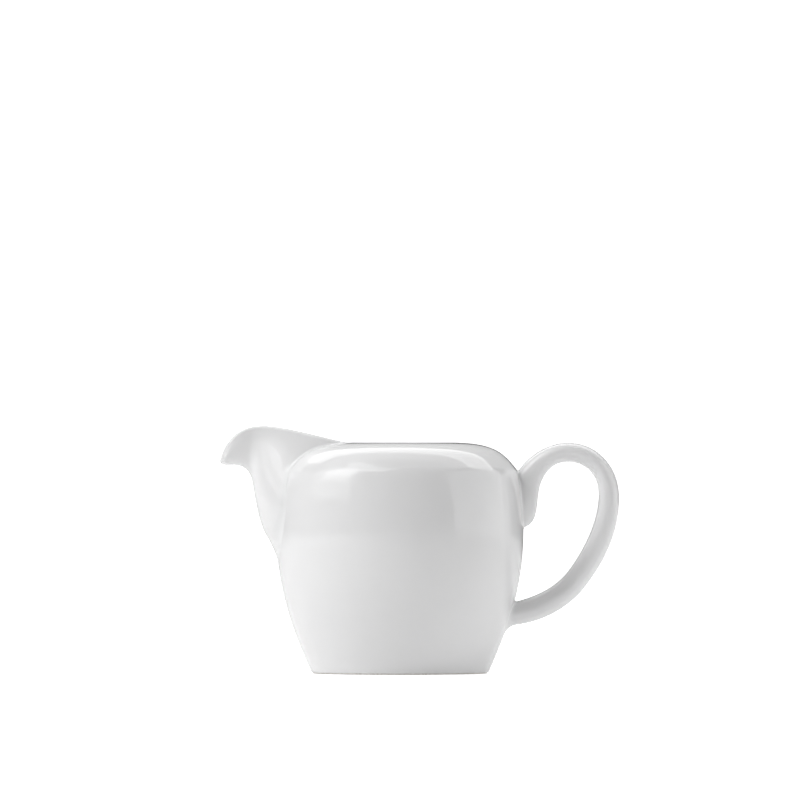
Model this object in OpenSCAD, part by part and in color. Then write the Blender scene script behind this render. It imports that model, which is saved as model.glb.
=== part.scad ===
// Porcelain cream jug: round body with a closed shoulder, open beak spout and loop handle.
// The cast spout and handle are luted on with slip, and each is trimmed to the curve of the body.
// Millimetres, +Z up, base centre at the origin, spout towards -X, handle towards +X.

/* [Body] */
// Largest radius of the belly
body_r = 39.5; // [30:0.5:60]
// Height of the rim above the table
rim_h = 73.9; // [55:0.1:110]
// Thickness of the side wall
wall = 3.0; // [2:0.1:4]
// Radius of the mouth
mouth_r = 16.6; // [14:0.1:18]
// Thickness of the floor
floor_t = 3.4; // [2.5:0.1:5]

/* [Foot] */
// Height of the unglazed standing ring
foot_h = 1.6; // [1:0.1:2.4]
// Width of the ring where it meets the body
foot_w = 3.4; // [2.5:0.1:5]

/* [Spout] */
// How far the beak reaches past the belly
spout_reach = 18.0; // [12:0.5:24]
// Half width of the beak
spout_half_w = 5.3; // [4.5:0.1:7.5]
// Thickness of the spout wall
spout_wall = 2.0; // [1.5:0.1:2.6]

/* [Handle] */
// How far the loop reaches past the belly
handle_reach = 30.6; // [22:0.5:40]
// Half width of the strap at the top of the loop
handle_half_w = 4.2; // [3:0.1:6]

/* [Slip] */
// Thickness of the slip between body and luted parts
slip_t = 0.45; // [0.3:0.05:0.8]
// How far the slip shows around each joint
slip_w = 0.7; // [0.4:0.1:1.2]

/* [Hidden] */
$fn = 96;
glazed = [0.95, 0.95, 0.94];
biscuit = [0.88, 0.86, 0.82];
seam_col = [0.92, 0.92, 0.90];

kr = body_r / 39.5;
kz = rim_h / 73.9;

// Curves are chains of cubic pieces, each [start, pull, pull, end].
function cubic(p, t) = pow(1 - t, 3) * p[0] + 3 * pow(1 - t, 2) * t * p[1]
                       + 3 * (1 - t) * t * t * p[2] + pow(t, 3) * p[3];
function slope(p, t) = let (d = pow(1 - t, 2) * (p[1] - p[0]) + 2 * (1 - t) * t * (p[2] - p[1])
                                + t * t * (p[3] - p[2])) d / norm(d);
function along(c, u) = let (i = min(floor(u), len(c) - 1)) cubic(c[i], u - i);
function side(c, u) = let (i = min(floor(u), len(c) - 1), s = slope(c[i], u - i)) [s[1], -s[0]];
function smooth(a, b, x) = let (t = min(max((x - a) / (b - a), 0), 1)) t * t * (3 - 2 * t);
function scaled(c) = [for (p = c) [for (q = p) [q[0] * kr, q[1] * kz]]];

// Body section, radius against height.
wall_curve = scaled([
    [[28.2, 0], [33.6, 12], [39.5, 26], [39.5, 46]],
    [[39.5, 46], [39.5, 47.3], [39.32, 62.86], [37.05, 65.65]],
    [[37.05, 65.65], [33.53, 69.98], [30.71, 73.46], [19.3, 73.8]]]);
foot_u = foot_h / (36 * kz);
wall_steps = [foot_u, 0.14, 0.3, 0.5, 0.75, 1, 1.35, 1.65, 1.85, 2, 2.12, 2.25, 2.4, 2.6, 2.8, 2.999];
rim_crest = [mouth_r + 1.5, rim_h - 0.02];

function wall_point(u, d) = along(wall_curve, u) + d * side(wall_curve, u);
function wall_points(d, from = 0) = [for (u = wall_steps) if (u >= from) wall_point(u, d)];
foot_top = wall_point(foot_u, 0);
foot_z = foot_top[1];

inside = [
    [mouth_r + 0.6, rim_h - 0.5], [mouth_r, rim_h - 1.4], [mouth_r + 0.3, rim_h - wall + 0.5],
    for (u = [2.85, 2.6, 2.4, 2.25, 2.12, 2, 1.85, 1.65, 1.35, 1, 0.75, 0.5]) wall_point(u, -wall),
    wall_point(0.36, -wall * 1.1),
    [foot_top[0] - 2.2, foot_z + floor_t + 3.6], [foot_top[0] - 5, foot_z + floor_t + 1.6],
    [foot_top[0] - 9, foot_z + 1 + floor_t],
    [0, foot_z + 1 + floor_t]];

module envelope(d) {
    rotate_extrude()
        polygon(concat([[0, foot_z], [foot_top[0], foot_z]], wall_points(d),
                       [[rim_crest[0], rim_crest[1] + d], [0, rim_crest[1] + d]]));
}

// A thin layer that follows the outside of the body.
module layer(from) {
    low = wall_points(0, from);
    high = wall_points(slip_t, from);
    rotate_extrude() polygon(concat(low, [for (i = [len(high) - 1:-1:0]) high[i]]));
}

module body() {
    color(glazed) difference() {
        rotate_extrude()
            polygon(concat([[0, foot_z + 1], [foot_top[0] - foot_w - 1, foot_z + 1],
                            [foot_top[0] - foot_w, foot_z]],
                           wall_points(0), [rim_crest], inside));
        channel();
    }
}

module foot_ring() {
    low = along(wall_curve, 0);
    mid = along(wall_curve, foot_u / 2);
    color(biscuit) rotate_extrude()
        polygon([[low[0] - 0.4, 0], [low[0] + 0.1, 0.35], mid, foot_top,
                 [foot_top[0] - foot_w, foot_z], [low[0] - foot_w + 0.7, 0.35],
                 [low[0] - foot_w + 1.1, 0]]);
}

// Spout: keel is the outline below, lip the edge above, both from the tip back to the body.
function reach_out(x, k) = kr * (abs(x) > 39.5 ? sign(x) * (39.5 + (abs(x) - 39.5) * k) : x);
function spouted(c) = [for (p = c) [for (q = p) [reach_out(q[0], spout_reach / 18), q[1] * kz]]];
keel = spouted([
    [[-57.54, 68.2], [-57.4, 66.4], [-55.6, 66.8], [-53.2, 66.75]],
    [[-53.2, 66.75], [-50.2, 66.7], [-47.9, 65.0], [-47.2, 61.2]],
    [[-47.2, 61.2], [-46.2, 55.8], [-45.6, 50.6], [-43.7, 46.0]],
    [[-43.7, 46.0], [-42.6, 43.3], [-40.4, 41.2], [-38.8, 36.5]]]);
lip = spouted([
    [[-57.54, 68.2], [-56.0, 74.2], [-52.0, 79.2], [-44.2, 79.2]],
    [[-44.2, 79.2], [-37.5, 79.2], [-27.5, 76.2], [-17.0, 73.8]]]);
keel_end = [-35 * kr, 34 * kz];
lip_end = [-9 * kr, 71.5 * kz];
spout_steps = [0.005, 0.025, 0.06, 0.12, 0.19, 0.26, 0.34, 0.42, 0.5, 0.58, 0.66, 0.74, 0.82, 0.9, 1, 1.1];

function top_half_w(v) = spout_half_w * (sqrt(1 - pow(1 - min(v / 0.4, 1), 2))
                                         + 1.32 * smooth(0.4, 1, v));
function low_half_w(v) = top_half_w(v) + spout_half_w * 2.17 * smooth(0.4, 0.92, v);

// Half ellipse from the near lip round the keel at k to the far lip at l.
function spout_arc(k, l, wl, wt) = [for (a = [-90:15:90]) let (f = 1 - cos(a))
    [k[0] + (l[0] - k[0]) * f, sin(a) * (wl + (wt - wl) * f), k[1] + (l[1] - k[1]) * f]];
function outer_row(v, g) = v > 1
    ? spout_arc(keel_end, lip_end, low_half_w(1) + g, top_half_w(1) + g)
    : spout_arc(along(keel, 4 * v) + g * side(keel, 4 * v), along(lip, 2 * v),
                low_half_w(v) + g, top_half_w(v) + g);

// The channel is the inside of the spout, carried up past the lip and in through the wall.
channel_keel = spouted([
    [[-55.6, 69.6], [-55.0, 68.4], [-54.0, 68.75], [-52.6, 68.75]],
    [[-52.6, 68.75], [-48.6, 68.6], [-45.9, 66.0], [-45.1, 61.0]],
    [[-45.1, 61.0], [-44.2, 56.0], [-43.6, 51.6], [-41.8, 47.6]],
    [[-41.8, 47.6], [-40.9, 45.4], [-38.8, 43.4], [-33.0, 41.5]]]);
channel_end = [-29 * kr, 40.5 * kz];
lip_clear = 3;
function channel_row(v) = let (
        last = v > 1,
        k = last ? channel_end : along(channel_keel, 4 * v),
        back = 1.9 * (1 - smooth(0, 0.3, v)),
        l = last ? lip_end + [0, 0.5] : along(lip, 2 * v) + [back, 0.5],
        wt = top_half_w(min(v, 1)) - spout_wall,
        wl = low_half_w(min(v, 1)) - spout_wall,
        top = l + lip_clear * (l - k) / norm(l - k))
    concat([[top[0], -wt, top[1]]], spout_arc(k, l, wl, wt), [[top[0], wt, top[1]]]);

// A closed solid from rows of m points, each row joined to the next and both ends capped.
function loft_faces(n, m) = concat(
    [for (i = [0:n - 2], j = [0:m - 1]) let (p = i * m, a = p + j, b = p + (j + 1) % m)
        each [[a, a + m, b], [b, a + m, b + m]]],
    [for (j = [1:m - 2]) [0, j, j + 1]],
    [for (j = [1:m - 2]) let (p = (n - 1) * m) [p, p + j + 1, p + j]]);

module spout_solid(g) {
    rows = [for (v = spout_steps) outer_row(v, g)];
    polyhedron([for (r = rows) each r], loft_faces(len(rows), 13));
}

module channel() {
    rows = [for (v = spout_steps) if (v > 0.05) channel_row(v)];
    polyhedron([for (r = rows) each r], loft_faces(len(rows), 15));
}

module spout() {
    color(glazed) difference() {
        spout_solid(0);
        channel();
        envelope(slip_t);
    }
}

module spout_slip_seam() {
    color(seam_col) difference() {
        intersection() {
            layer(0.4);
            spout_solid(slip_w);
        }
        channel();
    }
}

// Handle: outer and inner edges of the strap. It fans out from the notch into a tab that lies along
// the wall, runs round the loop and ends in the low joint.
function looped(c) = [for (p = c) [for (q = p)
    [kr * (q[0] > 39.5 ? 39.5 + (q[0] - 39.5) * handle_reach / 30.6 : q[0]), q[1] * kz]]];
strap_out = looped([
    [[36.2, 62.4], [36.5, 63.3], [37.0, 64.1], [37.9, 64.9]],
    [[37.9, 64.9], [41.2, 69.4], [46.6, 73.8], [53.8, 73.8]],
    [[53.8, 73.8], [63.2, 73.8], [70.1, 66.0], [70.1, 56.2]],
    [[70.1, 56.2], [70.1, 44.0], [64.5, 34.0], [57.3, 25.4]],
    [[57.3, 25.4], [52.2, 20.4], [45.6, 16.4], [35.9, 15.4]],
    [[35.9, 15.4], [34.5, 15.3], [33.0, 15.2], [31.5, 15.2]]]);
strap_in = looped([
    [[38.2, 46.3], [45.2, 47.6], [43.0, 53.5], [44.9, 60.3]],
    [[44.9, 60.3], [46.3, 64.6], [49.2, 67.7], [53.6, 67.7]],
    [[53.6, 67.7], [59.6, 67.7], [63.6, 63.4], [63.6, 57.0]],
    [[63.6, 57.0], [63.4, 47.5], [57.6, 37.5], [53.2, 32.0]],
    [[53.2, 32.0], [49.0, 27.2], [43.5, 24.6], [36.5, 22.9]],
    [[36.5, 22.9], [35.2, 22.7], [33.8, 22.5], [32.5, 22.3]]]);
strap_steps = [0, 0.12, 0.3, 0.5, 0.7, 0.85, 1, 1.15, 1.3, 1.5, 1.7, 1.85, 2, 2.2, 2.4, 2.6, 2.8,
               3, 3.2, 3.4, 3.6, 3.8, 4, 4.2, 4.4, 4.6, 4.8, 5, 5.9];
strap_sides = 14;

function strap_half_w(u) = handle_half_w * (1.12 - 0.12 * smooth(0, 1, u)
                           + 0.1 * smooth(2, 4, u) + 0.25 * smooth(4.3, 5.2, u));
function strap_row(u, g) = let (o = along(strap_out, u), i = along(strap_in, u),
        c = (o + i) / 2, h = (o - i) / 2, n = h / norm(h), t = norm(h) + g, w = strap_half_w(u) + g)
    [for (k = [0:strap_sides - 1]) let (a = -k * 360 / strap_sides)
        [c[0] + n[0] * t * cos(a), w * sin(a), c[1] + n[1] * t * cos(a)]];

module strap(g, from = 0, to = 6) {
    rows = [for (u = strap_steps) if (u >= from && u <= to) strap_row(u, g)];
    polyhedron([for (r = rows) each r], loft_faces(len(rows), strap_sides));
}

module handle() {
    color(glazed) difference() {
        strap(0);
        envelope(slip_t);
    }
}

module handle_upper_slip_seam() {
    color(seam_col) intersection() {
        layer(0.6);
        strap(slip_w, 0, 1.3);
    }
}

module handle_lower_slip_seam() {
    color(seam_col) intersection() {
        layer(0.14);
        strap(slip_w, 4.4, 6);
    }
}

body();
foot_ring();
spout();
handle();
spout_slip_seam();
handle_upper_slip_seam();
handle_lower_slip_seam();
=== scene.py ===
# %% [markdown]
# # A porcelain cream jug
#
# The real jug is made in four castings that are stuck together wet with slip (liquid clay), then glazed
# and fired: a round body with a closed shoulder, a narrow open beak, an ear-shaped handle, and the foot
# that is left unglazed so that it does not stick to the kiln shelf. Here every piece is a surface worked
# out with numpy. Lengths are in millimetres while a shape is made and become metres in the mesh.

import bmesh
import bpy
import numpy as np
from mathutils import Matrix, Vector


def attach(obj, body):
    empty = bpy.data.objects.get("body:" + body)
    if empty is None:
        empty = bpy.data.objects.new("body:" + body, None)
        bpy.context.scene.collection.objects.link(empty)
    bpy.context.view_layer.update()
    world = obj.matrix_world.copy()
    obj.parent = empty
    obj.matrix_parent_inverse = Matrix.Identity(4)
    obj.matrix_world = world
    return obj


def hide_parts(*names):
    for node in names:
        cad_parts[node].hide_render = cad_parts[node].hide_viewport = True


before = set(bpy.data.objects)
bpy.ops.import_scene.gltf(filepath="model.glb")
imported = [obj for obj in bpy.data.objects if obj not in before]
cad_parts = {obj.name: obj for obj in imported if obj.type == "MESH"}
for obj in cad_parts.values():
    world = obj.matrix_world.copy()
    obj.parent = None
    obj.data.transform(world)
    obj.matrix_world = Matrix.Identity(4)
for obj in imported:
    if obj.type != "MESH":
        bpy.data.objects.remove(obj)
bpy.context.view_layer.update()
print("nodes:", sorted(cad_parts))

# %% [markdown]
# ## Curves
#
# A potter's profile is drawn with a bent batten, and a chain of cubic curves behaves in the same way:
# each piece has a start, two pulls and an end. Listing the few control points keeps the outline smooth
# and easy to change, which a long list of traced points would not.


# %% Curve helpers
def along(chain, u):
    """Point on a chain of cubics: (1-t)^3 A + 3(1-t)^2 t B + 3(1-t)t^2 C + t^3 D on the piece that the
    whole part of u picks, with t the rest of u."""
    chain, u = np.asarray(chain, float), np.asarray(u, float)
    i = np.clip(np.floor(u).astype(int), 0, len(chain) - 1)
    t, c = (u - i)[..., None], chain[i]
    return ((1 - t) ** 3 * c[..., 0, :] + 3 * (1 - t) ** 2 * t * c[..., 1, :]
            + 3 * (1 - t) * t**2 * c[..., 2, :] + t**3 * c[..., 3, :])


def heading(chain, u):
    """Unit direction of travel on the chain: the derivative of the cubic over its own length."""
    chain, u = np.asarray(chain, float), np.asarray(u, float)
    i = np.clip(np.floor(u).astype(int), 0, len(chain) - 1)
    t, c = (u - i)[..., None], chain[i]
    d = ((1 - t) ** 2 * (c[..., 1, :] - c[..., 0, :]) + 2 * (1 - t) * t * (c[..., 2, :] - c[..., 1, :])
         + t**2 * (c[..., 3, :] - c[..., 2, :]))
    return unit(d)


def unit(v):
    """A vector over its own length."""
    return v / np.maximum(np.linalg.norm(v, axis=-1, keepdims=True), 1e-12)


def ease(a, b, x):
    """Smooth step from 0 at a to 1 at b: 3t^2 - 2t^3."""
    t = np.clip((np.asarray(x, float) - a) / (b - a), 0, 1)
    return t * t * (3 - 2 * t)


# %% [markdown]
# ## Meshes from grids
#
# A grid of points becomes a mesh with one quad between each four neighbours. Poles and seams are points
# that fall on each other, so close points are merged at the end and any quad that lost a side goes.


# %% Mesh helpers
CREASE_DEG = 50


def grid_quads(start, rows, cols, wrap):
    """Quads of a rows by cols grid whose first point is number start; wrap joins last column to first."""
    i, j = np.meshgrid(np.arange(rows - 1), np.arange(cols if wrap else cols - 1), indexing="ij")
    a, b = start + i * cols + j, start + i * cols + (j + 1) % cols
    return np.stack([a, b, b + cols, a + cols], -1).reshape(-1, 4)


def make_piece(name, grids, weld=0.002):
    """Mesh object from (points, wrap) grids in millimetres, merged where points meet within weld, with
    its faces turned outwards."""
    points, quads, n = [], [], 0
    for pts, wrap in grids:
        rows, cols = pts.shape[:2]
        points.append(pts.reshape(-1, 3))
        quads.append(grid_quads(n, rows, cols, wrap))
        n += rows * cols
    points, quads = np.concatenate(points), np.concatenate(quads)
    key = np.round(points / weld).astype(np.int64)
    _, first, same = np.unique(key, axis=0, return_index=True, return_inverse=True)
    quads = same.reshape(-1)[quads]
    points = points[first]
    faces = [list(dict.fromkeys(q)) for q in quads.tolist()]
    faces = [f for f in faces if len(f) > 2]
    mesh = bpy.data.meshes.new(name)
    mesh.from_pydata((points * 0.001).tolist(), [], faces)
    mesh.validate()
    bm = bmesh.new()
    bm.from_mesh(mesh)
    bmesh.ops.recalc_face_normals(bm, faces=bm.faces)
    open_edges = sum(not e.is_manifold for e in bm.edges)
    bm.to_mesh(mesh)
    bm.free()
    mesh.polygons.foreach_set("use_smooth", np.ones(len(mesh.polygons), bool))
    mesh.set_sharp_from_angle(angle=np.radians(CREASE_DEG))
    mesh.update()
    obj = bpy.data.objects.new(name, mesh)
    bpy.context.scene.collection.objects.link(obj)
    print(f"{name}: {len(points)} points, {len(faces)} faces, {open_edges} open edges")
    return obj


# %% [markdown]
# ## The body's profile
#
# The body is cast in a round plaster mould, because its shoulder closes in over the belly, and any cut
# through the axis shows the same profile. It runs here from the middle of the underside, out round the
# foot, up the wall, over the shoulder and the rim, and down the inside to the middle of the floor.

# %% Profile of the wall, the rim and the inside
WALL_T = 3.0
wall_line = [[(28.2, 0), (33.6, 12), (39.5, 26), (39.5, 46)],
             [(39.5, 46), (39.5, 47.3), (39.32, 62.86), (37.05, 65.65)],
             [(37.05, 65.65), (33.53, 69.98), (30.71, 73.46), (19.3, 73.8)]]
crest_line = [[(19.3, 73.8), (18.6, 73.86), (18.3, 73.88), (17.95, 73.88)],
              [(17.95, 73.88), (17.0, 73.88), (16.6, 73.3), (16.6, 72.3)]]
lip_under = [[(16.6, 72.3), (16.6, 71.2), (17.2, 70.82), (19.2, 70.8)]]


def wall_offset(u, d):
    """Point beside the wall line: the line plus d times its outward normal."""
    h = heading(wall_line, u)
    return along(wall_line, u) + d * np.stack([h[..., 1], -h[..., 0]], -1)


def thin(line, step):
    """The same polyline with points every step along its length."""
    s = np.concatenate([[0], np.cumsum(np.linalg.norm(np.diff(line, axis=0), axis=1))])
    k = np.linspace(0, s[-1], max(int(round(s[-1] / step)), 2) + 1)
    return np.stack([np.interp(k, s, line[:, 0]), np.interp(k, s, line[:, 1])], -1)


outside = np.concatenate([along(wall_line, np.linspace(0.02, 2.9999, 1200)),
                          along(crest_line, np.linspace(0, 0.9999, 60))])
inner_top = along(lip_under, np.linspace(0.01, 1, 60))
inner_low = wall_offset(0.45, -WALL_T)
floor_turn = [[tuple(inner_low), (30.7, 13.0), (27.5, 6.05), (19.0, 6.0)],
              [(19.0, 6.0), (13.0, 6.0), (6.0, 6.0), (0, 6.0)]]
inside = np.concatenate([along(crest_line, np.linspace(1, 1.9999, 60)), inner_top,
                         wall_offset(np.linspace(2.9, 0.45, 900), -WALL_T),
                         along(floor_turn, np.linspace(0.01, 2, 200))])
print("wall outside", outside.min(0), outside.max(0), "inside", inside.min(0), inside.max(0))

# %% [markdown]
# ## How far a point is from the body
#
# The spout and the handle are cut to fit the body's curve before they are stuck on. To cut a surface in
# the same way, the script asks for each point how far outside the body it lies: the nearest place on
# the profile is found, and the step to it is measured along the profile's normal.


# %% Signed distance to a turned surface
def profile_table(line, flip=1):
    """Points every 0.1 mm along a profile, their outward normals and their distance along it."""
    pts = thin(line, 0.1)
    d = unit(np.gradient(pts, axis=0))
    s = np.concatenate([[0], np.cumsum(np.linalg.norm(np.diff(pts, axis=0), axis=1))])
    return pts, flip * np.stack([d[:, 1], -d[:, 0]], -1), s


def clearance(points, table):
    """Signed distance (r, z) - nearest profile point, taken along its normal; also the normal's r and z
    parts and the distance along the profile."""
    pts, nor, s = table
    rz = np.stack([np.hypot(points[..., 0], points[..., 1]), points[..., 2]], -1).reshape(-1, 2)
    near = np.concatenate([((c[:, None] - pts[None]) ** 2).sum(-1).argmin(1)
                           for c in np.array_split(rz, max(len(rz) // 4000, 1))])
    gap = rz - pts[near]
    n = nor[near]
    tang = np.stack([-n[:, 1], n[:, 0]], -1)
    shape = points.shape[:-1]
    return ((gap * n).sum(-1).reshape(shape), n.reshape(shape + (2,)),
            (s[near] + np.sign((tang * unit(np.gradient(pts, axis=0))[near]).sum(-1))
             * (gap * tang).sum(-1)).reshape(shape))


crest_top = np.array([[17.95, 73.88], [0, 73.88]])
shell = profile_table(np.concatenate([outside, thin(crest_top, 0.1)[1:]]))
hollow = profile_table(inside, 1)
print("profile lengths", round(shell[2][-1], 1), round(hollow[2][-1], 1))

# %% [markdown]
# ## The spout as rings
#
# The beak is an open gutter. A slice across it is a thick letter C: an outer arc from one lip round the
# keel to the other, a rounded lip, the inner arc of the channel, and the second lip. The slices follow
# the beak from its tip back into the body, so the whole spout is one function of how far back a slice
# lies and where on the C a point is. Where the C meets the body is then a curve that can be solved for.

# %% Outline of the beak
LIP_R, SPOUT_T = 1.0, 2.0
lip_line = [[(-57.5, 68.2), (-56.0, 74.2), (-52.0, 79.2), (-44.2, 79.2)],
            [(-44.2, 79.2), (-37.5, 79.2), (-27.5, 76.2), (-17.0, 73.8)]]
tip_run = heading(lip_line, 0.0)
tip_mid = np.array(lip_line[0][0]) - LIP_R * np.array([-tip_run[1], tip_run[0]])
tip_low, tip_high = tip_mid - LIP_R * tip_run, tip_mid + LIP_R * tip_run
keel_line = [[tuple(tip_low), (-56.4, 66.55), (-54.8, 66.75), (-53.2, 66.75)],
             [(-53.2, 66.75), (-50.2, 66.7), (-47.9, 65.0), (-47.2, 61.2)],
             [(-47.2, 61.2), (-46.2, 55.8), (-45.6, 50.6), (-43.7, 46.0)],
             [(-43.7, 46.0), (-42.6, 43.3), (-40.4, 41.2), (-38.8, 36.5)]]
gutter_line = [[tuple(tip_high), (-55.7, 68.7), (-54.4, 68.75), (-52.6, 68.75)],
               [(-52.6, 68.75), (-48.6, 68.6), (-45.9, 66.0), (-45.1, 61.0)],
               [(-45.1, 61.0), (-44.2, 56.0), (-43.6, 51.6), (-41.8, 47.6)],
               [(-41.8, 47.6), (-40.9, 45.4), (-38.8, 43.4), (-33.0, 41.5)]]
ARC_N, LIP_N = 81, 9
spread = np.linspace(-1, 1, ARC_N)
arc_angle = np.pi / 2 * (0.5 * spread + 0.5 * np.sin(np.pi / 2 * spread))


def beak_half_width(v):
    """Half width at the middle of the lip: 4.3 sqrt(1 - (1 - v/0.4)^2), then a flare towards the body."""
    return 4.3 * np.sqrt(1 - (1 - np.minimum(v / 0.4, 1)) ** 2) + 7.0 * ease(0.4, 1, v)


def belly_half_width(v):
    """Half width low on the outer arc: that of the lip plus a stronger swelling towards the body."""
    return beak_half_width(v) + LIP_R * ease(0, 0.1, v) + 11.5 * ease(0.4, 0.92, v)


def spout_ring(v):
    """Points of the C at each v: arcs K + (A - K)(1 - cos a) with y = sin a (low + (A_y - low)(1 - cos a)),
    and lips M + r (side cos b + up sin b). v may hold one value for each point of the ring."""
    v = np.asarray(v, float)
    ring = ARC_N * 2 + LIP_N * 2
    v = np.broadcast_to(v[..., None], v.shape + (ring,)) if v.shape[-1:] != (ring,) else v
    run, top = heading(lip_line, 2 * v), along(lip_line, 2 * v)
    up = np.stack([-run[..., 1], run[..., 0]], -1)
    mid = top - LIP_R * up
    half, step = beak_half_width(v), 1e-4
    speed = np.linalg.norm(along(lip_line, 2 * v + step) - along(lip_line, 2 * v - step), axis=-1) / 2
    rise = (beak_half_width(np.abs(v) + step / 2) - beak_half_width(np.maximum(v - step / 2, 0)))
    turn = np.where(v <= 0, np.pi / 2, np.arctan2(rise, speed))
    cos_t, sin_t = np.cos(turn)[..., None], np.sin(turn)[..., None]
    side_xz, side_y = -run * sin_t, cos_t[..., 0]
    lip_a = mid + LIP_R * side_xz, half + LIP_R * side_y
    lip_b = mid - LIP_R * side_xz, half - LIP_R * side_y
    keel, gutter = along(keel_line, 4 * v), along(gutter_line, 4 * v)
    low_a = belly_half_width(v)
    low_b = np.maximum(low_a - SPOUT_T * ease(0, 0.1, v), 0)
    out = np.empty(v.shape + (3,))
    a, n = arc_angle, ARC_N

    def arc(part, root, end, low, angle):
        f = (1 - np.cos(angle))[..., None]
        r, e = root[..., part, :], end[0][..., part, :]
        y = np.sin(angle) * (low[..., part] + (end[1][..., part] - low[..., part]) * f[..., 0])
        xz = r + (e - r) * f
        return np.stack([xz[..., 0], y, xz[..., 1]], -1)

    def lip(part, bend, sign):
        c, s = np.cos(bend)[..., None], np.sin(bend)[..., None]
        xz = mid[..., part, :] + LIP_R * (side_xz[..., part, :] * c + up[..., part, :] * s)
        y = sign * (half[..., part] + LIP_R * side_y[..., part] * c[..., 0])
        return np.stack([xz[..., 0], y, xz[..., 1]], -1)

    bend = np.pi * np.arange(1, LIP_N + 1) / (LIP_N + 1)
    p1, p2 = slice(0, n), slice(n, n + LIP_N)
    p3, p4 = slice(n + LIP_N, 2 * n + LIP_N), slice(2 * n + LIP_N, ring)
    out[..., p1, :] = arc(p1, keel, lip_a, low_a, a)
    out[..., p2, :] = lip(p2, bend, 1)
    out[..., p3, :] = arc(p3, gutter, lip_b, low_b, a[::-1])
    out[..., p4, :] = lip(p4, bend[::-1], -1)
    return out


def first_crossing(values, field, level, after=None):
    """For each column of field, the value where it first falls to level, by straight interpolation."""
    below = field <= level
    if after is not None:
        below &= values[:, None] >= after[None]
    i = np.clip(below.argmax(0), 1, len(values) - 1)
    k = np.arange(field.shape[1])
    f0, f1 = field[i - 1, k], field[i, k]
    t = np.clip((level - f0) / np.where(np.abs(f1 - f0) < 1e-9, -1e-9, f1 - f0), 0, 1)
    return values[i - 1] + t * (values[i] - values[i - 1])


sweep = np.linspace(0, 1.12, 321)
beak = spout_ring(sweep)
beak_gap, _, _ = clearance(beak, shell)
v_touch = first_crossing(sweep, beak_gap, 0.0)
beak_touch = spout_ring(v_touch[None])[0]
print("spout touches the body from z", round(beak_touch[:, 2].min(), 1),
      "to", round(beak_touch[:, 2].max(), 1),
      "half width", round(np.abs(beak_touch[:, 1]).max(), 1), "tip x", round(beak[..., 0].min(), 2))

# %% [markdown]
# ## Where the spout meets the body
#
# Slip squeezed out of the joint is wiped with a wet brush and leaves a small hollow curve on both sides
# of the join. The spout's rings are stopped a little short of the body, and the slip seam carries on
# from there to the body's own surface. Inside the channel the join is wiped flush instead.


# %% The joint of spout and body
def on_profile(table, s):
    """Radius and height at distance s along a profile."""
    pts, _, at = table
    return np.stack([np.interp(s, at, pts[:, 0]), np.interp(s, at, pts[:, 1])], -1)


def surface_normal(points, rz_normal):
    """Turn a profile's normal (r, z) into a direction in space at each point."""
    r = np.maximum(np.hypot(points[..., 0], points[..., 1]), 1e-9)[..., None]
    return np.concatenate([points[..., :2] / r * rz_normal[..., :1], rz_normal[..., 1:]], -1)


def settle(points, table, times=3):
    """Move points onto the turned surface along its normal."""
    for _ in range(times):
        gap, nor, _ = clearance(points, table)
        points = points - gap[..., None] * surface_normal(points, nor)
    return points


def bend_between(a, b, c, steps):
    """Quadratic curve (1-t)^2 A + 2t(1-t) B + t^2 C for t from 0 to 1, one row for each step."""
    t = np.linspace(0, 1, steps)[:, None, None]
    return (1 - t) ** 2 * a + 2 * t * (1 - t) * b + t**2 * c


def rim_walk(loop):
    """Direction along a closed loop of points, from the neighbours on either side."""
    return unit(np.roll(loop, -1, 0) - np.roll(loop, 1, 0))


n, b = ARC_N, LIP_N
bend = np.pi * np.arange(1, b + 1) / (b + 1)
round_off = 0.5 + 0.5 * np.cos(bend)
outer_part = np.concatenate([np.ones(n), round_off, np.zeros(n), round_off[::-1]])
turn_deg = np.abs(np.degrees(arc_angle))
fillet = 0.8 + 1.7 * (1 - ease(10, 62, turn_deg))
fillet = np.concatenate([fillet, np.full(b, 0.8), fillet[::-1], np.full(b, 0.8)])
SLIP_T = 0.45
v_stop = first_crossing(sweep, beak_gap, SLIP_T + (fillet - SLIP_T) * outer_part)
beak_stop = spout_ring(v_stop[None])[0]
_, touch_nor, _ = clearance(beak_touch, shell)
touch_up = surface_normal(beak_touch, touch_nor)
away = unit(np.cross(touch_up, rim_walk(beak_touch)))
away *= -np.sign(away[(n - 1) // 2, 2])
foot_print = settle(beak_touch + away * (fillet * 1.15 * outer_part)[:, None], shell)
_, print_nor, _ = clearance(foot_print, shell)
sunk = foot_print - 0.2 * surface_normal(foot_print, print_nor) - 0.3 * away * (1 - outer_part)[:, None]

fold_l, fold_r = 2 * n + b + b // 2, n + b // 2
ring_n = 2 * n + 2 * b
go = np.concatenate([np.arange(fold_l, ring_n), np.arange(0, fold_r + 1)])
back = np.arange(fold_l, fold_r - 1, -1)


def c_cap(loop):
    """Close the end of a C by joining each outer point to the inner point across the wall from it."""
    return np.stack([loop[go], loop[back]])


# %% [markdown]
# ## Spout and its seam
#
# The rows of the spout gather at the tip, where the lip turns tightest, so the nose stays round without
# more points elsewhere.

# %% Build the spout and its slip seam
rows = np.linspace(0, 1, 121)[:, None] ** 1.7
spout_grid = spout_ring(v_stop[None] * rows)
spout = make_piece("Spout_Porcelain", [(spout_grid, True), (c_cap(beak_stop), False)])

seam_grid = np.concatenate([bend_between(beak_stop, beak_touch, foot_print, 24), sunk[None]])
spout_seam = make_piece("Spout_Slip", [(seam_grid, True), (c_cap(beak_stop), False), (c_cap(sunk), False)])

# %% [markdown]
# ## The body with its pouring notch
#
# The maker cuts the wall away behind the spout so that cream can reach it. On the grid of a turned form
# each row is a circle, so the notch is made by opening the rows: every row above the notch's bottom
# starts where the channel passes through it and ends on the far side. The rows are placed where the
# channel's own points cross the wall, and so the cut face through the wall joins them point to point.

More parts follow.
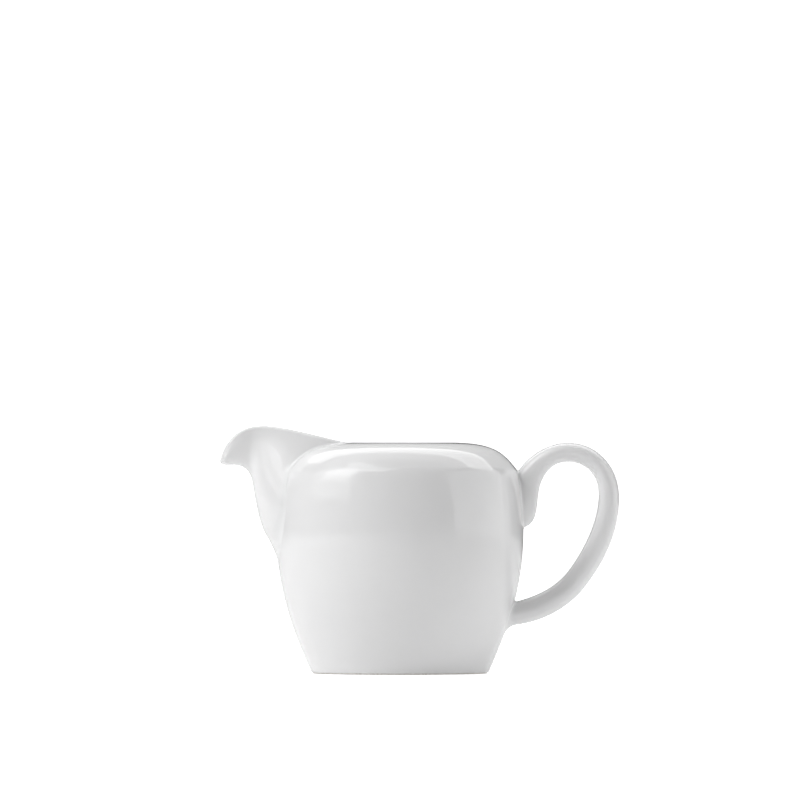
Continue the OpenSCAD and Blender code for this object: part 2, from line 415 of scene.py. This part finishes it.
# %% The cut through the wall
inner_cols = np.arange(n + b, 2 * n + b)
cut_beak, cut_v = beak[:, inner_cols], v_touch[inner_cols]
room, _, _ = clearance(cut_beak, hollow)
cut_deg = turn_deg[::-1]
soft = 0.35 + 1.0 * (1 - ease(60, 88, cut_deg))


def channel_at(v):
    """The channel's own points at each column's v."""
    full = v_touch.copy()
    full = np.broadcast_to(full, v.shape[:-1] + (ring_n,)).copy()
    full[..., inner_cols] = v
    return spout_ring(full)[..., inner_cols, :]


v_near = first_crossing(sweep, -room, soft, after=cut_v)
v_through = first_crossing(sweep, -room, 0.0, after=cut_v)
through = channel_at(v_through[None])[0]
_, wall_nor, _ = clearance(through, hollow)
wall_in = surface_normal(through, wall_nor)
along_cut = np.gradient(through, axis=0)
spread_dir = unit(np.cross(wall_in, along_cut))
spread_dir *= -np.sign(spread_dir[(n - 1) // 2, 2])
cut_foot = settle(through + spread_dir * (soft * 1.2)[:, None], hollow)


def snap(points, table):
    """Profile distance and opening angle from -X of each point, then the point put exactly there."""
    _, _, s = clearance(points, table)
    rz = on_profile(table, s)
    psi = np.arctan2(-points[:, 1], -points[:, 0])
    return s, psi, np.stack([-rz[:, 0] * np.cos(psi), -rz[:, 0] * np.sin(psi), rz[:, 1]], -1)


s_out, psi_out, edge_out = snap(beak_touch[inner_cols], shell)
s_in, psi_in, edge_in = snap(cut_foot, hollow)
steps = np.linspace(0, 1, 9)[:, None]
passage = channel_at(cut_v[None] + (v_near - cut_v)[None] * steps)
passage[0] = edge_out
turn_in = bend_between(passage[-1], through, edge_in, 8)
cut_grid = np.concatenate([passage[:-1], turn_in])
half = (n - 1) // 2
order = np.arange(half, n)
print("notch bottom outside z", round(edge_out[half, 2], 1), "inside z", round(edge_in[half, 2], 1))

# %% [markdown]
# ## Rows of the body
#
# The rim passes over the top of the notch, so a few more rows run across the crest between the last
# point outside and the last point inside. The glaze stops in a small bead just above the table, where
# it was wiped away before firing, and the foot ring shows below it.

# %% Build the body
ROUND_N = 256
crest_s = clearance(np.array([[17.95, 0, 73.88]]), shell)[2][0]
walk = np.linspace(0, 1, len(cut_grid)) * (crest_s - s_out[0] + s_in[0]) + s_out[0]
crest_rz = np.where((walk <= crest_s)[:, None], on_profile(shell, walk),
                    on_profile(hollow, np.maximum(walk - crest_s, 0)))
crest_psi = np.linspace(abs(psi_out[0]), abs(psi_in[0]), len(walk))

glaze_edge = thin(np.array([[0, 2.6], [24.0, 2.6], [24.7, 2.45], [25.3, 1.9], [25.7, 1.65], [28.35, 1.65],
                            [28.15, 0.9], [28.05, 0.5], [28.12, 0.42], [28.25, 0.41], [28.4, 0.5],
                            [28.47, 0.62]]), 0.3)
low_wall = on_profile(shell, np.arange(0, s_out[half] - 0.4, 1.0))
high_rows = order[::-1] - half
out_rows, in_rows = high_rows, high_rows[::-1]
low_in = on_profile(hollow, np.arange(s_in[half] + 1.0, hollow[2][-1], 1.0))
floor_mid = np.array([[0, 6.0]])
body_rz = np.concatenate([glaze_edge, low_wall, on_profile(shell, s_out[out_rows]), crest_rz[1:-1],
                          on_profile(hollow, s_in[in_rows]), low_in, floor_mid])
body_psi = np.concatenate([np.zeros(len(glaze_edge) + len(low_wall)), np.abs(psi_out[out_rows]),
                           crest_psi[1:-1], np.abs(psi_in[in_rows]), np.zeros(len(low_in) + 1)])


def turned(rz, psi_open, cols=ROUND_N):
    """Turned form with opened rows: (-r cos p, -r sin p, z), where p runs from the opening angle round to
    its far side."""
    p = psi_open[:, None] + (2 * np.pi - 2 * psi_open[:, None]) * np.linspace(0, 1, cols + 1)
    height = np.broadcast_to(rz[:, 1:], p.shape)
    return np.stack([-rz[:, :1] * np.cos(p), -rz[:, :1] * np.sin(p), height], -1)


def crest_side(sign):
    """The small cut face across the rim on one side of the notch."""
    p = sign * crest_psi
    top = np.stack([-crest_rz[:, 0] * np.cos(p), -crest_rz[:, 0] * np.sin(p), crest_rz[:, 1]], -1)
    return np.stack([cut_grid[:, 0 if sign < 0 else -1], top])


cut_grid[0], cut_grid[-1] = edge_out, edge_in
body = make_piece("Body_Porcelain", [(turned(body_rz, body_psi), False), (cut_grid, False),
                                     (crest_side(-1), False), (crest_side(1), False)])

foot_rz = thin(np.array([[24.9, 1.62], [24.75, 0.9], [24.9, 0.35], [25.2, 0.08], [25.6, 0.0], [27.4, 0.0],
                         [27.75, 0.06], [27.95, 0.25], [28.02, 0.5], [28.1, 0.9], [28.3, 1.62],
                         [24.9, 1.62]]), 0.25)
foot = make_piece("Foot_Biscuit", [(turned(foot_rz, np.zeros(len(foot_rz))), False)])

# %% [markdown]
# ## The handle
#
# The handle is cast in a two-part mould as a strap that is thicker in the middle than at its edges.
# It springs from a notch under the shoulder, fans out into a tab along the wall, goes round the loop
# and comes back into the wall low down. Two outlines, outer and inner, give the place and the thickness
# of every slice, and a rounded section goes between them.

# %% Rings along the strap
strap_out = [[(36.2, 62.4), (36.5, 63.3), (37.0, 64.1), (37.9, 64.9)],
             [(37.9, 64.9), (41.2, 69.4), (46.6, 73.8), (53.8, 73.8)],
             [(53.8, 73.8), (63.2, 73.8), (70.1, 66.0), (70.1, 56.2)],
             [(70.1, 56.2), (70.1, 44.0), (64.5, 34.0), (57.3, 25.4)],
             [(57.3, 25.4), (52.2, 20.4), (45.6, 16.4), (35.9, 15.4)],
             [(35.9, 15.4), (34.5, 15.3), (33.0, 15.2), (31.5, 15.2)]]
strap_in = [[(38.2, 46.3), (45.2, 47.6), (43.0, 53.5), (44.9, 60.3)],
            [(44.9, 60.3), (46.3, 64.6), (49.2, 67.7), (53.6, 67.7)],
            [(53.6, 67.7), (59.6, 67.7), (63.6, 63.4), (63.6, 57.0)],
            [(63.6, 57.0), (63.4, 47.5), (57.6, 37.5), (53.2, 32.0)],
            [(53.2, 32.0), (49.0, 27.2), (43.5, 24.6), (36.5, 22.9)],
            [(36.5, 22.9), (35.2, 22.7), (33.8, 22.5), (32.5, 22.3)]]
STRAP_N = 72
strap_angle = np.arange(STRAP_N) * 2 * np.pi / STRAP_N


def strap_half_width(u):
    """Half width of the strap across the jug: 4.2 at the top of the loop, a little more at both ends."""
    return 4.2 * (1.12 - 0.12 * ease(0, 1, u) + 0.1 * ease(2, 4, u) + 0.25 * ease(4.3, 5.2, u))


def strap_ring(u):
    """Rounded section c + n t cx + Y w sy between the outlines, with cx and sy the cosine and sine to the
    power 0.94, which squares the section a little. u may hold one value for each point of the ring."""
    u = np.asarray(u, float)
    u = np.broadcast_to(u[..., None], u.shape + (STRAP_N,)) if u.shape[-1:] != (STRAP_N,) else u
    o, i = along(strap_out, u), along(strap_in, u)
    c, h = (o + i) / 2, (o - i) / 2
    cx = np.sign(np.cos(strap_angle)) * np.abs(np.cos(strap_angle)) ** 0.94
    sy = np.sign(np.sin(strap_angle)) * np.abs(np.sin(strap_angle)) ** 0.94
    xz = c + h * cx[:, None]
    return np.stack([xz[..., 0], strap_half_width(u) * sy, xz[..., 1]], -1)


def joint(values, softness, outward):
    """Solve for where the strap stops, where it would touch the body and where its slip ends."""
    field, _, _ = clearance(strap_ring(values), shell)
    stop = strap_ring(first_crossing(values, field, softness)[None])[0]
    touch = strap_ring(first_crossing(values, field, 0.0)[None])[0]
    _, nor, _ = clearance(touch, shell)
    away = unit(np.cross(surface_normal(touch, nor), rim_walk(touch)))
    away *= np.sign((away * (touch - touch.mean(0))).sum())
    foot = settle(touch + away * (softness * outward)[:, None], shell)
    _, nor, _ = clearance(foot, shell)
    return (first_crossing(values, field, softness), stop, touch, foot,
            foot - 0.2 * surface_normal(foot, nor))


def lid(loop):
    """Close a ring with rows that shrink to its middle."""
    t = np.linspace(0, 1, 5)[:, None, None]
    return loop * (1 - t) + loop.mean(0) * t


high_soft = np.full(STRAP_N, 0.9)
low_soft = 0.9 + 2.2 * (0.5 + 0.5 * np.cos(strap_angle)) ** 2
u_high, high_stop, high_touch, high_foot, high_sunk = joint(np.linspace(2.0, 0.0, 400), high_soft, 1.1)
u_low, low_stop, low_touch, low_foot, low_sunk = joint(np.linspace(4.0, 6.0, 400), low_soft, 1.1)
t = np.linspace(0, 1, 181)[:, None]
handle = make_piece("Handle_Porcelain", [(strap_ring(u_high * (1 - t) + u_low * t), True),
                                         (lid(high_stop), True), (lid(low_stop), True)])
high_seam = make_piece("Handle_Slip_High", [
    (np.concatenate([bend_between(high_stop, high_touch, high_foot, 20), high_sunk[None]]), True),
    (lid(high_stop), True), (lid(high_sunk), True)])
low_seam = make_piece("Handle_Slip_Low", [
    (np.concatenate([bend_between(low_stop, low_touch, low_foot, 20), low_sunk[None]]), True),
    (lid(low_stop), True), (lid(low_sunk), True)])
print("upper joint z", high_touch[:, 2].min().round(1), high_touch[:, 2].max().round(1),
      "lower joint z", low_touch[:, 2].min().round(1), low_touch[:, 2].max().round(1))

# %% [markdown]
# ## Glazed porcelain
#
# Porcelain is white all through and the clear glaze on it is a thin skin of glass. The body colour
# drifts very slightly, the glaze has the faintest orange peel from the kiln, and it pools a little where
# pieces join. A low roughness gives the sharp reflection, and the slow bumps bend it as real glaze does.


# %% Materials
def porcelain(name, color, tint, peel):
    """Glaze over white clay: slow drift of colour and gloss, slow and fine bumps."""
    mat = bpy.data.materials.new(name)
    mat.use_nodes = True
    nodes, links = mat.node_tree.nodes, mat.node_tree.links
    shader = nodes["Principled BSDF"]
    shader.inputs["IOR"].default_value = 1.5
    place = nodes.new("ShaderNodeTexCoord")
    drift = nodes.new("ShaderNodeTexNoise")
    drift.inputs["Scale"].default_value = 38.0
    drift.inputs["Detail"].default_value = 3.0
    links.new(place.outputs["Object"], drift.inputs["Vector"])
    mix = nodes.new("ShaderNodeMix")
    mix.data_type = "RGBA"
    mix.inputs["A"].default_value = (*color, 1)
    mix.inputs["B"].default_value = (*tint, 1)
    links.new(drift.outputs["Fac"], mix.inputs["Factor"])
    links.new(mix.outputs["Result"], shader.inputs["Base Color"])
    rough = nodes.new("ShaderNodeMapRange")
    rough.inputs["To Min"].default_value = 0.035
    rough.inputs["To Max"].default_value = 0.065
    links.new(drift.outputs["Fac"], rough.inputs["Value"])
    links.new(rough.outputs["Result"], shader.inputs["Roughness"])
    slow = nodes.new("ShaderNodeTexNoise")
    slow.inputs["Scale"].default_value = 55.0
    slow.inputs["Detail"].default_value = 1.0
    links.new(place.outputs["Object"], slow.inputs["Vector"])
    fine = nodes.new("ShaderNodeTexNoise")
    fine.inputs["Scale"].default_value = 900.0
    fine.inputs["Detail"].default_value = 2.0
    links.new(place.outputs["Object"], fine.inputs["Vector"])
    slow_bump = nodes.new("ShaderNodeBump")
    slow_bump.inputs["Strength"].default_value = peel
    slow_bump.inputs["Distance"].default_value = 0.0006
    links.new(slow.outputs["Fac"], slow_bump.inputs["Height"])
    fine_bump = nodes.new("ShaderNodeBump")
    fine_bump.inputs["Strength"].default_value = peel * 0.25
    fine_bump.inputs["Distance"].default_value = 0.00005
    links.new(fine.outputs["Fac"], fine_bump.inputs["Height"])
    links.new(slow_bump.outputs["Normal"], fine_bump.inputs["Normal"])
    links.new(fine_bump.outputs["Normal"], shader.inputs["Normal"])
    return mat


def biscuit(name):
    """Unglazed fired clay: matt, off-white, with fine grit and small dark specks from the shelf."""
    mat = bpy.data.materials.new(name)
    mat.use_nodes = True
    nodes, links = mat.node_tree.nodes, mat.node_tree.links
    shader = nodes["Principled BSDF"]
    place = nodes.new("ShaderNodeTexCoord")
    grit = nodes.new("ShaderNodeTexNoise")
    grit.inputs["Scale"].default_value = 1400.0
    grit.inputs["Detail"].default_value = 4.0
    links.new(place.outputs["Object"], grit.inputs["Vector"])
    ramp = nodes.new("ShaderNodeValToRGB")
    ramp.color_ramp.elements[0].position = 0.3
    ramp.color_ramp.elements[0].color = (0.62, 0.58, 0.52, 1)
    ramp.color_ramp.elements[1].position = 0.5
    ramp.color_ramp.elements[1].color = (0.80, 0.78, 0.74, 1)
    links.new(grit.outputs["Fac"], ramp.inputs["Fac"])
    links.new(ramp.outputs["Color"], shader.inputs["Base Color"])
    rough = nodes.new("ShaderNodeMapRange")
    rough.inputs["To Min"].default_value = 0.75
    rough.inputs["To Max"].default_value = 0.95
    links.new(grit.outputs["Fac"], rough.inputs["Value"])
    links.new(rough.outputs["Result"], shader.inputs["Roughness"])
    bump = nodes.new("ShaderNodeBump")
    bump.inputs["Strength"].default_value = 0.4
    bump.inputs["Distance"].default_value = 0.00006
    links.new(grit.outputs["Fac"], bump.inputs["Height"])
    links.new(bump.outputs["Normal"], shader.inputs["Normal"])
    return mat


body_glaze = porcelain("Glazed_Porcelain", (0.86, 0.86, 0.86), (0.84, 0.84, 0.845), 0.10)
slip_glaze = porcelain("Glazed_Slip", (0.85, 0.85, 0.85), (0.82, 0.825, 0.83), 0.14)
foot_clay = biscuit("Biscuit_Foot")

# %% [markdown]
# ## Each piece takes its place in the frame
#
# Every piece stands for one node of the CAD model and rides on its only body, because nothing on the
# jug moves.

# %% Hand the pieces to the frame
for piece, node, slot, finish in (
        (body, "body", "porcelain_body", body_glaze), (foot, "foot_ring", "biscuit_foot", foot_clay),
        (spout, "spout", "porcelain_spout", body_glaze), (handle, "handle", "porcelain_handle", body_glaze),
        (spout_seam, "spout_slip_seam", "glazed_slip", slip_glaze),
        (high_seam, "handle_upper_slip_seam", "glazed_slip", slip_glaze),
        (low_seam, "handle_lower_slip_seam", "glazed_slip", slip_glaze)):
    piece.data.materials.append(finish)
    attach(piece, "root")
    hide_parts(node)

# %% [markdown]
# ## Studio
#
# White china is lit with very large soft lights, because the glaze mirrors each of them. The key on the
# left is brightest at its middle, so it makes the pale side and the window shape on the shoulder without
# a hard edge. A strip behind and above draws the long bright arc along the shoulder, a wall of light at
# the back lights the top, and a weaker light on the right keeps that side from going flat. The side
# towards the camera gets the least, and that is what gives the round form. Paper and sky look white to
# the camera but stay grey in the glaze, so the outline of the jug shows as a fine darker line.

# %% Backdrop
def plane(name, size):
    """Flat square sheet on the ground, the given size across."""
    h = size / 2
    mesh = bpy.data.meshes.new(name)
    mesh.from_pydata([(-h, -h, 0), (h, -h, 0), (h, h, 0), (-h, h, 0)], [], [(0, 1, 2, 3)])
    obj = bpy.data.objects.new(name, mesh)
    bpy.context.scene.collection.objects.link(obj)
    return obj


def two_way(tree, seen, felt, out):
    """Join two shaders so that the camera sees one and the light bouncing about meets the other."""
    ray, mix = tree.nodes.new("ShaderNodeLightPath"), tree.nodes.new("ShaderNodeMixShader")
    tree.links.new(ray.outputs["Is Camera Ray"], mix.inputs["Fac"])
    tree.links.new(felt, mix.inputs[1])
    tree.links.new(seen, mix.inputs[2])
    tree.links.new(mix.outputs["Shader"], out)


FLOOR_SIZE, FLOOR_GREY, TENT_GREY, TENT_WHITE = 60, 0.8, 0.02, 1.6
# The paper also glows for the light bouncing about, most near the jug and less further out: a painted pool
# of light on the floor that lights the jug's lower body from below.
PAINTED_GLOW_POOL = (0.05, 0.4, 0.2, 0.08)
LIFT_RISE = (0.08, 0.6, 0.45, 1.2)
floor = plane("Floor", FLOOR_SIZE)
paper = bpy.data.materials.new("Floor_Paper")
paper.use_nodes = True
tree = paper.node_tree
matt = tree.nodes["Principled BSDF"]
matt.inputs["Base Color"].default_value = (FLOOR_GREY, FLOOR_GREY, FLOOR_GREY, 1)
matt.inputs["Roughness"].default_value = 0.9
matt.inputs["Specular IOR Level"].default_value = 0.0
matt.inputs["Emission Color"].default_value = (1, 1, 1, 1)
spot, far = tree.nodes.new("ShaderNodeTexCoord"), tree.nodes.new("ShaderNodeVectorMath")
far.operation = "LENGTH"
tree.links.new(spot.outputs["Object"], far.inputs[0])
lift, both = tree.nodes.new("ShaderNodeEmission"), tree.nodes.new("ShaderNodeAddShader")
for rise_by, target in ((PAINTED_GLOW_POOL, matt.inputs["Emission Strength"]),
                        (LIFT_RISE, lift.inputs["Strength"])):
    rise = tree.nodes.new("ShaderNodeMapRange")
    for socket, value in zip(("From Min", "From Max", "To Min", "To Max"), rise_by):
        rise.inputs[socket].default_value = value
    tree.links.new(far.outputs["Value"], rise.inputs["Value"])
    tree.links.new(rise.outputs["Result"], target)
tree.links.new(matt.outputs["BSDF"], both.inputs[0])
tree.links.new(lift.outputs["Emission"], both.inputs[1])
two_way(tree, both.outputs["Shader"], matt.outputs["BSDF"], tree.nodes["Material Output"].inputs["Surface"])
floor.data.materials.append(paper)

tent = bpy.data.worlds.new("Tent")
bpy.context.scene.world = tent
tent.use_nodes = True
tree = tent.node_tree
white, grey = tree.nodes["Background"], tree.nodes.new("ShaderNodeBackground")
white.inputs["Color"].default_value = (1, 1, 1, 1)
white.inputs["Strength"].default_value = TENT_WHITE
grey.inputs["Color"].default_value = (1, 1, 1, 1)
grey.inputs["Strength"].default_value = TENT_GREY
two_way(tree, white.outputs["Background"], grey.outputs["Background"],
        tree.nodes["World Output"].inputs["Surface"])
bpy.context.scene.view_settings.view_transform = "Standard"


# %% Soft lights
def softbox(name, turn, lift, wide, high, glow, away=1.3):
    """Rectangular light at the given turn (degrees right of the camera's side) and lift, away metres from
    the jug and facing it; wide and high are how many degrees it fills, glow is its brightness."""
    a, e = np.radians(turn), np.radians(lift)
    way = Vector((np.cos(e) * np.sin(a), -np.cos(e) * np.cos(a), np.sin(e)))
    data = bpy.data.lights.new(name, "AREA")
    data.shape = "RECTANGLE"
    data.size, data.size_y = (2 * away * np.tan(np.radians(d) / 2) for d in (wide, high))
    data.energy = glow * np.pi * data.size * data.size_y
    obj = bpy.data.objects.new(name, data)
    bpy.context.scene.collection.objects.link(obj)
    obj.location = Vector((0, 0, 0.04)) + way * away
    obj.rotation_euler = way.to_track_quat("Z", "Y").to_euler()
    print(name, "at", [round(c, 2) for c in obj.location], "power", round(data.energy, 1))


softbox("Key_Wide", -70, 34, 46, 52, 1.25)
softbox("Key_Middle", -68, 36, 30, 36, 1.6)
softbox("Key_Core", -66, 37, 26, 24, 1.9)
softbox("Key_High", -50, 60, 40, 26, 2.0)
softbox("Top_Strip", 168, 56, 84, 26, 2.1)
softbox("Top_Over", 180, 80, 76, 24, 0.6)
softbox("Back_Wall", 180, 31, 80, 40, 0.4)
softbox("Fill_Right", 84, 18, 66, 45, 1.35)

# %% Camera
CAMERA_AWAY, CAMERA_Z = 5.12, 0.0875
camera_data = bpy.data.cameras.new("Camera")
camera_data.lens, camera_data.sensor_width = 720, 36
camera = bpy.data.objects.new("Camera", camera_data)
bpy.context.scene.collection.objects.link(camera)
camera.location = (0.0, -CAMERA_AWAY, CAMERA_Z)
camera.rotation_euler = (np.pi / 2, 0, 0)
bpy.context.scene.camera = camera
